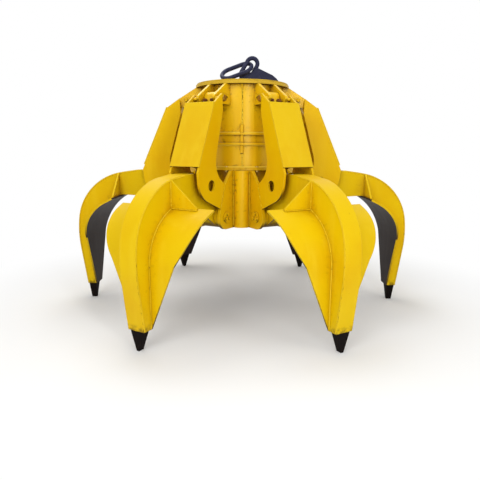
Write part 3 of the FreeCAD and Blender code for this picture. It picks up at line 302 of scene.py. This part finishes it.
def painted(name, coat, gloss=0.36, shine=0.12, stains=0.6, dark_inside=False, worn_foot=False):
    """Sprayed yellow: patches, dust, stains, painted shade in corners, creases and under, painted highlights
    on edges, chips down to the steel.
    """
    colours = bpy.context.scene.grab_colours
    finish = Finish(name, {"Specular IOR Level": shine, "Specular Tint": (1.0, 0.86, 0.40, 1.0),
                           "Coat Weight": 0.02, "Coat Roughness": 0.2})
    rounded = finish.rounded(bpy.context.scene.grab_sizes.chip_and_highlight_reach)
    edge = finish.edges(rounded)
    corner = 1.0 - finish.openness(0.11)
    crease = 1.0 - finish.openness(0.026)
    patches = finish.noise(1.7, 3.0)
    runs = finish.noise(9.0, 4.0, stretch=RUNNING_DOWN, shift=3.0)
    specks = finish.noise(60.0, 4.0, stretch=SQUAT, shift=7.0)
    stain = finish.noise(26.0, 5.0, shift=11.0)
    deep = (coat[0] * 0.95, coat[1] * 0.86, coat[2] * 0.7, 1.0)
    pale = (min(1.0, coat[0] * 1.03), min(1.0, coat[1] * 1.06), coat[2] + 0.010, 1.0)
    body = finish.mixed(deep, rgba(coat), patches.between(0.30, 0.60))
    body = finish.mixed(body, pale, runs.between(0.50, 0.72) * 0.5)
    # Painted shade: corners go orange-brown, more so along the streaks.
    body = finish.mixed(body, rgba(colours.corner_shade_and_stain), corner.between(0.15, 0.9) * (0.40 + runs * 0.6))
    # Painted highlight: a pale line along convex edges, kept out of corners.
    body = finish.mixed(body, rgba(colours.edge), edge * (1.0 - corner.between(0.1, 0.4)) * 0.7)
    body = finish.mixed(body, rgba(colours.corner_shade_and_stain), stain.between(0.70, 0.78) * 0.35)
    body = finish.mixed(body, rgba(colours.chip),
                        stain.between(0.54, 0.66) * corner.between(0.06, 0.40) * stains)
    # Painted shade: near black in tight creases (patchy), in deep corners and on faces that look down.
    body = finish.mixed(body, rgba(colours.shade_and_dirt), crease.between(0.30, 0.80) * (0.20 + stain * 0.9))
    body = finish.mixed(body, rgba(colours.shade_and_dirt), corner.between(0.78, 0.98) * 0.85)
    body = finish.mixed(body, rgba(colours.shade_and_dirt), finish.facing(DOWN).between(0.25, 0.7) * 0.85)
    chips = specks.between(0.67, 0.71) * (edge.between(0.02, 0.5) * 0.85 + corner.between(0.3, 0.8) * 0.25)
    if worn_foot:
        height = finish.height()
        low = 1.0 - height.between(*WORN_FOOT)
        chips = chips + specks.between(0.50, 0.57) * edge.between(0.03, 0.3) * low * 0.9
        # Darker towards the foot of a tine, in patches.
        darkening = 1.0 - height.between(*DARKER_FOOT)
        body = finish.mixed(body, rgba(colours.shade_and_dirt), darkening * stain.between(0.35, 0.62) * 0.75)
    body = finish.mixed(body, rgba(colours.chip), chips)
    rough = gloss + runs * 0.10 + chips * 0.3
    if dark_inside:
        hidden = 1.0 - away_from_hub(finish).between(-0.30, -0.16)
        scrapes = finish.noise(34.0, 5.0, stretch=SCRAPED_DOWN, shift=17.0)
        steel = finish.mixed(rgba(colours.inside), rgba(colours.scrape), scrapes.between(0.52, 0.75) * 0.7)
        body = finish.mixed(body, steel, hidden)
        rough = rough + hidden * (0.10 + scrapes * 0.15)
    finish.drive("Base Color", body)
    finish.drive("Roughness", rough)
    skin = finish.noise(420.0, 2.0) * 0.35 + finish.noise(30.0, 2.0) - chips * 1.5
    finish.bump(skin, 0.10, 0.0012, rounded)
    return finish.material


def weld_paint(name, coat, scorch_and_shade):
    """Painted weld metal: the same yellow over a rough, spattered bead, with painted shade where it meets the
    plate.
    """
    colours = bpy.context.scene.grab_colours
    finish = Finish(name, {"Specular IOR Level": 0.2, "Coat Weight": 0.04, "Coat Roughness": 0.3})
    spatter = finish.noise(150.0, 4.0)
    burnt = finish.noise(22.0, 3.0, shift=5.0)
    corner = 1.0 - finish.openness(0.03)
    body = finish.mixed(rgba(coat), rgba(colours.edge), spatter.between(0.5, 0.75) * 0.25)
    # Painted shade where the bead meets the plate; the same weight also sets the burnt chips.
    body = finish.mixed(body, rgba(colours.corner_shade_and_stain), corner.between(0.45, 1.0) * scorch_and_shade)
    body = finish.mixed(body, rgba(colours.chip), burnt.between(0.68, 0.76) * scorch_and_shade)
    finish.drive("Base Color", body)
    finish.drive("Roughness", 0.38 + spatter * 0.2)
    finish.bump(spatter, 0.5, 0.0015, finish.node("ShaderNodeNewGeometry", {}, {}, "Normal"))
    return finish.material


def dark_metal(name, base, worn, rough, grain, metallic=0.0, rust=None):
    """Dark paint or cast steel, worn paler along its edges, with a grain and some rust."""
    finish = Finish(name, {"Specular IOR Level": 0.1})
    rounded = finish.rounded(0.005)
    edge = finish.edges(rounded)
    cloud = finish.noise(11.0, 4.0)
    grit = finish.noise(grain, 4.0, shift=2.0)
    rubbed = cloud.between(0.45, 0.75) * 0.35 + edge * grit.between(0.35, 0.6) * 0.6
    body = finish.mixed(rgba(base), rgba(worn), rubbed)
    if rust:
        rusty = finish.noise(45.0, 5.0, shift=9.0)
        body = finish.mixed(body, rgba(rust), rusty.between(0.55, 0.70) * 0.6)
    finish.drive("Base Color", body)
    finish.drive("Metallic", metallic + edge * 0.25)
    finish.drive("Roughness", rough + cloud * 0.12 - edge * 0.10)
    finish.bump(grit, 0.35, 0.0015, rounded)
    return finish.material


def bare_metal(name, base, rough, lines, oil=0.0):
    """Machined or drawn metal with fine lines round it and a film of oil."""
    finish = Finish(name, {"Metallic": 1.0})
    turned = finish.noise(lines, 3.0, stretch=TURNED)
    film = finish.noise(8.0, 4.0, shift=4.0)
    body = finish.mixed(rgba(base), (base[0] * 0.45, base[1] * 0.42, base[2] * 0.38, 1.0),
                        film.between(0.45, 0.7) * (0.3 + oil))
    finish.drive("Base Color", body)
    finish.drive("Roughness", rough + film * 0.15)
    finish.bump(turned, 0.12, 0.0006, finish.rounded(0.002))
    return finish.material


def dress(material, *parts):
    for name in parts:
        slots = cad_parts[name].data.materials
        slots.clear()
        slots.append(material)


def per_tine(pattern):
    return [pattern % (index + 1) for index in range(TINES)]


# ---------------------------------------------------------------- weld beads
def flow(line, foot, inset=0.0, spacing=0.02):
    """Points of a tine line that runs and bends down to the height foot, moved inwards by inset."""
    start, slope, steps = line
    angle = math.radians(slope)
    here = Vector((start[0] + inset * math.sin(angle), start[1] - inset * math.cos(angle)))
    points = [here]
    for run, radius, bend in steps:
        if run > 0:
            here = here + Vector((math.cos(angle), math.sin(angle))) * run
            points.append(here)
        reach = radius - inset
        centre = here + Vector((math.sin(angle), -math.cos(angle))) * reach
        parts = max(4, round(math.radians(bend) * reach / spacing))
        for part in range(1, parts + 1):
            heading = angle - math.radians(bend) * part / parts
            points.append(centre + Vector((-math.sin(heading), math.cos(heading))) * reach)
        angle -= math.radians(bend)
        here = points[-1]
    points.append(here + Vector((math.cos(angle), math.sin(angle))) * ((foot - here.y) / math.sin(angle)))
    return points


def even(points, step):
    """Points at an even step along a line of points."""
    lengths = [0.0]
    for first, second in zip(points, points[1:]):
        lengths.append(lengths[-1] + (second - first).length)
    count = max(2, round(lengths[-1] / step))
    spread, place = [], 0
    for index in range(count + 1):
        wanted = lengths[-1] * index / count
        while place < len(points) - 2 and lengths[place + 1] < wanted:
            place += 1
        share = (wanted - lengths[place]) / (lengths[place + 1] - lengths[place])
        spread.append(points[place].lerp(points[place + 1], share))
    return spread


def run_bead(mesh, path, radius, ripple, chance):
    """Weld bead: a capped ring pushed on along the path, swelling and shrinking at each ripple."""
    stations = even(path, ripple / 2)
    places = []
    for index, point in enumerate(stations):
        before = stations[max(0, index - 1)]
        after = stations[min(len(stations) - 1, index + 1)]
        turn = (after - before).to_track_quat("Z", "X").to_matrix().to_4x4()
        swell = (1.06, 0.84)[index % 2] * chance.uniform(0.93, 1.07)
        if index in (0, len(stations) - 1):
            swell = 0.45
        places.append(Matrix.Translation(point) @ turn @ Matrix.Scale(swell, 4))
    made = bmesh.ops.create_circle(mesh, cap_ends=True, segments=7, radius=radius, matrix=places[0])
    cap = made["verts"][0].link_faces[0]
    first = cap
    for before, after in zip(places, places[1:]):
        pushed = bmesh.ops.extrude_face_region(mesh, geom=[cap], use_keep_orig=cap is first)["geom"]
        cap = next(item for item in pushed if isinstance(item, bmesh.types.BMFace))
        bmesh.ops.transform(mesh, matrix=after @ before.inverted(), verts=list(cap.verts))


def bead_mesh(paths, radius, ripple, seed):
    """Mesh of beads along several paths."""
    chance = random.Random(seed)
    whole = bmesh.new()
    for path in paths:
        run_bead(whole, path, radius, ripple, chance)
    bmesh.ops.recalc_face_normals(whole, faces=whole.faces)
    for face in whole.faces:
        face.smooth = True
    return whole


def settle(mesh):
    """Number corners and faces by their places, so that every run gives them in one order."""
    for found, place in ((mesh.verts, lambda vert: tuple(vert.co)),
                         (mesh.faces, lambda face: sorted(vert.index for vert in face.verts))):
        for index, item in enumerate(sorted(found, key=place)):
            item.index = index
        found.sort()
        found.index_update()


def place_piece(name, mesh, material, body):
    """Object from a bmesh that rides on a body."""
    settle(mesh)
    data = bpy.data.meshes.new(name)
    mesh.to_mesh(data)
    mesh.free()
    data.materials.append(material)
    piece = bpy.data.objects.new(name, data)
    bpy.context.scene.collection.objects.link(piece)
    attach(piece, body)
    return piece


def turned_copy(mesh, index):
    """Copy of a tine's mesh turned to its place about the hub's axis."""
    copy = mesh.copy()
    bmesh.ops.rotate(copy, cent=(0, 0, 0), matrix=Matrix.Rotation(math.tau * index / TINES, 3, "Z"),
                     verts=copy.verts)
    return copy


def all_round(mesh):
    """The tine's mesh repeated at all six places, in one mesh."""
    data = bpy.data.meshes.new("one place")
    mesh.to_mesh(data)
    mesh.free()
    whole = bmesh.new()
    for index in range(TINES):
        start = len(whole.verts)
        whole.from_mesh(data)
        whole.verts.ensure_lookup_table()
        bmesh.ops.rotate(whole, cent=(0, 0, 0), matrix=Matrix.Rotation(math.tau * index / TINES, 3, "Z"),
                         verts=whole.verts[start:])
    bpy.data.meshes.remove(data)
    return whole


def standing(points, y):
    """Points of the tine plane, at a distance from its middle."""
    return [Vector((point[0], y, point[1])) for point in points]


def finished(name):
    material = bpy.data.materials.get(name)
    if material is None:
        raise RuntimeError("the finish %s is made by the paint operator, which runs first" % name)
    return material


# ---------------------------------------------------------------- operators
class GRAB_OT_paint(bpy.types.Operator):
    """Give every part of the grab its finish"""
    bl_idname = "grab.paint"
    bl_label = "Paint the grab"

    def execute(self, context):
        colours = context.scene.grab_colours
        dress(painted("plate paint", colours.hub, stains=0.4),
              "cheek_plates", "hub_lugs", "pin_keepers", "hinge_caps")
        dress(painted("tine paint", colours.tine, stains=0.2, worn_foot=True), *per_tine("tine_%d_frame"))
        dress(painted("shell paint", colours.tine, stains=0.2, dark_inside=True, worn_foot=True),
              *per_tine("tine_%d_shell"))
        dress(painted("drum paint", colours.drum, gloss=0.24, shine=0.45),
              "upper_drum", "middle_ring", "lower_drum", "hub_posts", "hub_column",
              "cylinder_brackets", *per_tine("cylinder_%d_barrel"))
        dress(painted("cover paint", colours.cover, gloss=0.42), "guard_covers")
        dress(painted("rim paint", colours.rim, gloss=0.40), "top_plate")
        weld_paint("weld paint", colours.tine, 0.6)
        # The drum's seam and ring beads take the pale painted-highlight colour, so they read as bright lines.
        weld_paint("drum weld highlight paint", colours.edge, 0.1)
        dress(dark_metal("tooth steel", colours.tooth, colours.tooth_worn, 0.75, 130.0,
                         rust=colours.tooth_rust), *per_tine("tine_%d_tooth"))
        dress(dark_metal("chain paint", colours.chain, colours.chain_worn, 0.34, 200.0),
              "short_link", "long_link", "lifting_bracket", "lifting_pin")
        dark_metal("port iron", colours.port, colours.port_worn, 0.55, 200.0, metallic=0.2)
        dress(dark_metal("motor paint", colours.motor, colours.motor_worn, 0.45, 260.0),
              "motor", "breather_cap")
        dress(dark_metal("pump iron", colours.pump, colours.pump_worn, 0.55, 160.0, metallic=0.4),
              "pump", "valve_block")
        dress(bare_metal("pin steel", colours.pin, 0.42, 240.0, oil=0.4),
              "hinge_pins", "cylinder_pins", *per_tine("tine_%d_rod_pin"))
        dress(bare_metal("rod chrome", colours.chrome, 0.12, 500.0), *per_tine("cylinder_%d_rod"))
        dress(bare_metal("bolt zinc", colours.zinc, 0.40, 300.0, oil=0.3), "flange_bolts")
        dress(bare_metal("gland brass", colours.brass, 0.30, 320.0, oil=0.2), "cable_gland")
        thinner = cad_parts["hinge_pins"].modifiers.new("running fit", "DISPLACE")
        thinner.mid_level = 0.0
        thinner.strength = -context.scene.grab_sizes.running_fit
        return {"FINISHED"}


class GRAB_OT_tine_welds(bpy.types.Operator):
    """Lay the weld beads along the seams of each tine"""
    bl_idname = "grab.tine_welds"
    bl_label = "Weld the tines"

    def execute(self, context):
        sizes = context.scene.grab_sizes
        paths = []
        for side in (-1, 1):
            crease = flow(CREASE, TINE_FOOT + 0.004, -0.002)
            paths.append(standing(crease, side * (TINE_HALF + 0.002)))
            ridge = flow(RIDGE, TINE_FOOT + 0.004, 0.0085)
            paths.append(standing(ridge, side * (TINE_HALF - 0.0015)))
            paths.append([Vector((GUSSET_FACE + 0.001, side * TINE_HALF, GUSSET_FOOT)),
                          Vector((GUSSET_FACE + 0.001, side * GUSSET_HALF, GUSSET_FOOT))])
            paths.append([Vector((GUSSET_FACE, side * (TINE_HALF + 0.001), GUSSET_FOOT)),
                          Vector((GUSSET_FACE, side * (TINE_HALF + 0.001), GUSSET_TOP))])
        beads = bead_mesh(paths, sizes.seam_bead, sizes.ripple, 3)
        for index in range(TINES):
            place_piece("tine_%d_welds" % (index + 1), turned_copy(beads, index), finished("weld paint"),
                        "tine_%d" % (index + 1))
        beads.free()
        return {"FINISHED"}


class GRAB_OT_hub_welds(bpy.types.Operator):
    """Lay the weld beads down the posts, and the tacks where cheeks meet lugs"""
    bl_idname = "grab.hub_welds"
    bl_label = "Weld the hub"

    def execute(self, context):
        sizes = context.scene.grab_sizes
        half = math.pi / TINES
        reach = math.sqrt(POST_R ** 2 - (POST_CIRCLE_R * math.sin(half) - LUG_OUTER) ** 2)
        seam = POST_CIRCLE_R * math.cos(half) + reach + 0.001
        paths, tacks = [], []
        for side in (-1, 1):
            y = side * (LUG_OUTER + 0.001)
            paths.append([Vector((seam, y, LUG_BOTTOM + 0.012)),
                          Vector((seam, y, HUB_FLANGE_BOTTOM - 0.002))])
            top, bottom = Vector(LUG_SEAM[0]), Vector(LUG_SEAM[1])
            along = (bottom - top).normalized() * sizes.tack / 2
            for share in TACK_SHARES:
                middle = top.lerp(bottom, share)
                tacks.append(standing((middle - along, middle + along), side * CHEEK_OUTER))
        beads = all_round(bead_mesh(paths, sizes.post_bead, sizes.ripple, 5))
        place_piece("hub_post_welds", beads, finished("weld paint"), "hub")
        beads = all_round(bead_mesh(tacks, sizes.post_bead, sizes.ripple, 7))
        place_piece("hub_cheek_tacks", beads, finished("weld paint"), "hub")
        return {"FINISHED"}


class GRAB_OT_drum_fittings(bpy.types.Operator):
    """Add the seam bead and the ring welds of the drum, and the paint drip under its rim"""
    bl_idname = "grab.drum_fittings"
    bl_label = "Fit out the drum"

    def execute(self, context):
        sizes = context.scene.grab_sizes
        face = -DRUM_R - 0.0005
        paths = [[Vector((DRUM_SEAM_X, face, low)), Vector((DRUM_SEAM_X, face, high))]
                 for low, high in DRUM_SEAM_RUNS]
        seams = bead_mesh(paths, sizes.drum_bead, sizes.ripple, 11)
        place_piece("drum_seam_weld", seams, finished("drum weld highlight paint"), "hub")

        rings = bmesh.new()
        upright = Matrix.Rotation(math.pi / 2, 4, "X")
        for height in RING_WELD_HEIGHTS:
            circle = bmesh.ops.create_circle(rings, segments=8, radius=sizes.ring_bead,
                                             matrix=Matrix.Translation((DRUM_R, 0, height)) @ upright)
            edges = list({edge for vert in circle["verts"] for edge in vert.link_edges})
            bmesh.ops.spin(rings, geom=edges, cent=(0, 0, 0), axis=(0, 0, 1), angle=math.tau, steps=120,
                           use_merge=True)
        bmesh.ops.remove_doubles(rings, verts=rings.verts, dist=1e-6)
        bmesh.ops.recalc_face_normals(rings, faces=rings.faces)
        for side in rings.faces:
            side.smooth = True
        place_piece("drum_ring_welds", rings, finished("drum weld highlight paint"), "hub")

        drip = bmesh.new()
        bmesh.ops.create_cone(drip, cap_ends=True, segments=10, radius1=0.003, radius2=0.013, depth=0.046,
                              matrix=Matrix.Translation(DRIP_PLACE))
        place_piece("drum_rim_drip", drip, finished("drum paint"), "hub")
        return {"FINISHED"}


class GRAB_OT_cylinder_ports(bpy.types.Operator):
    """Add the two hose ports at the top of each cylinder"""
    bl_idname = "grab.cylinder_ports"
    bl_label = "Fit the cylinders' ports"

    def execute(self, context):
        ports = bmesh.new()
        outwards = Matrix.Rotation(math.pi / 2, 4, "Y")
        for side in (-1, 1):
            for sides, radius, depth, out in PORT_STEPS:
                place = Matrix.Translation((out, side * PORT_ASIDE, PORT_HEIGHT))
                bmesh.ops.create_cone(ports, cap_ends=True, segments=sides, radius1=radius, radius2=radius,
                                      depth=depth, matrix=place @ outwards)
        for index in range(TINES):
            place_piece("cylinder_%d_ports" % (index + 1), turned_copy(ports, index), finished("port iron"),
                        "barrel_%d" % (index + 1))
        ports.free()
        return {"FINISHED"}


class GRAB_OT_stage(bpy.types.Operator):
    """Set the floor, the soft lights, the white surroundings and the camera"""
    bl_idname = "grab.stage"
    bl_label = "Set the stage"

    def execute(self, context):
        self.floor(context)
        self.surroundings(context)
        self.lamps(context)
        self.camera(context)
        return {"FINISHED"}

    def floor(self, context):
        mesh = bmesh.new()
        bmesh.ops.create_grid(mesh, x_segments=2, y_segments=2, size=FLOOR_HALF)
        data = bpy.data.meshes.new("floor")
        mesh.to_mesh(data)
        mesh.free()
        ground = bpy.data.objects.new("floor", data)
        context.scene.collection.objects.link(ground)
        finish = Finish("floor paint", {"Roughness": 0.9, "Specular IOR Level": 0.1,
                                        "Base Color": rgba(context.scene.grab_colours.floor)})
        away = finish.node("ShaderNodeVectorMath", {"operation": "LENGTH"}, {0: finish.place}, "Value")
        fade = away.between(*FLOOR_FADE) * finish.seen()
        glow = finish.node("ShaderNodeEmission", {}, {"Color": WHITE, "Strength": 1.0})
        finish.show(finish.node("ShaderNodeMixShader", {}, {0: fade, 1: finish.coat, 2: glow}))
        data.materials.append(finish.material)

    def surroundings(self, context):
        world = bpy.data.worlds.new("studio")
        context.scene.world = world
        sky = Nodes(world, "ShaderNodeOutputWorld")
        soft = sky.node("ShaderNodeBackground", {},
                        {"Color": WHITE, "Strength": context.scene.grab_stage.sky})
        white = sky.node("ShaderNodeBackground", {}, {"Color": WHITE, "Strength": 1.0})
        sky.show(sky.node("ShaderNodeMixShader", {}, {0: sky.seen(), 1: soft, 2: white}))

    def lamps(self, context):
        for name, place, size, power in LAMPS:
            lamp = bpy.data.lights.new(name, "AREA")
            lamp.shape = "RECTANGLE"
            lamp.size, lamp.size_y = size
            lamp.energy = power
            holder = bpy.data.objects.new(name, lamp)
            holder.location = place
            holder.rotation_euler = (LIT_POINT - holder.location).to_track_quat("-Z", "Y").to_euler()
            context.scene.collection.objects.link(holder)

    def camera(self, context):
        stage = context.scene.grab_stage
        lens = bpy.data.cameras.new("camera")
        lens.sensor_width = SENSOR
        lens.lens = stage.lens
        camera = bpy.data.objects.new("camera", lens)
        place = Vector((math.sin(stage.orbit) * stage.distance, -math.cos(stage.orbit) * stage.distance,
                        stage.eye))
        camera.matrix_world = (Matrix.Translation(place)
                               @ Matrix.Rotation(stage.orbit + stage.aside, 4, "Z")
                               @ Matrix.Rotation(math.pi / 2 - stage.pitch, 4, "X")
                               @ Matrix.Rotation(stage.roll, 4, "Z"))
        context.scene.collection.objects.link(camera)
        context.scene.camera = camera
        context.scene.view_settings.view_transform = "Standard"


class GRAB_PT_sidebar(bpy.types.Panel):
    """Everything that finishes the grab, in the order in which it is made"""
    bl_idname = "GRAB_PT_sidebar"
    bl_label = "Orange-peel grab"
    bl_space_type = "VIEW_3D"
    bl_region_type = "UI"
    bl_category = "Grab"

    def draw(self, context):
        for group in (context.scene.grab_colours, context.scene.grab_sizes, context.scene.grab_stage):
            box = self.layout.box()
            for name in group.__annotations__:
                box.prop(group, name)
        for operator in OPERATORS:
            self.layout.operator(operator.bl_idname)


GROUPS = {"grab_colours": GrabColours, "grab_sizes": GrabSizes, "grab_stage": GrabStage}
OPERATORS = (GRAB_OT_paint, GRAB_OT_tine_welds, GRAB_OT_hub_welds, GRAB_OT_drum_fittings,
             GRAB_OT_cylinder_ports, GRAB_OT_stage)


def register():
    for made in (*GROUPS.values(), *OPERATORS, GRAB_PT_sidebar):
        bpy.utils.register_class(made)
    for name, group in GROUPS.items():
        setattr(bpy.types.Scene, name, bpy.props.PointerProperty(type=group))


def unregister():
    for name in GROUPS:
        delattr(bpy.types.Scene, name)
    for made in reversed((*GROUPS.values(), *OPERATORS, GRAB_PT_sidebar)):
        bpy.utils.unregister_class(made)


def main():
    register()
    for operator in (bpy.ops.grab.paint, bpy.ops.grab.tine_welds, bpy.ops.grab.hub_welds,
                     bpy.ops.grab.drum_fittings, bpy.ops.grab.cylinder_ports, bpy.ops.grab.stage):
        operator()


if __name__ == "__main__":
    main()
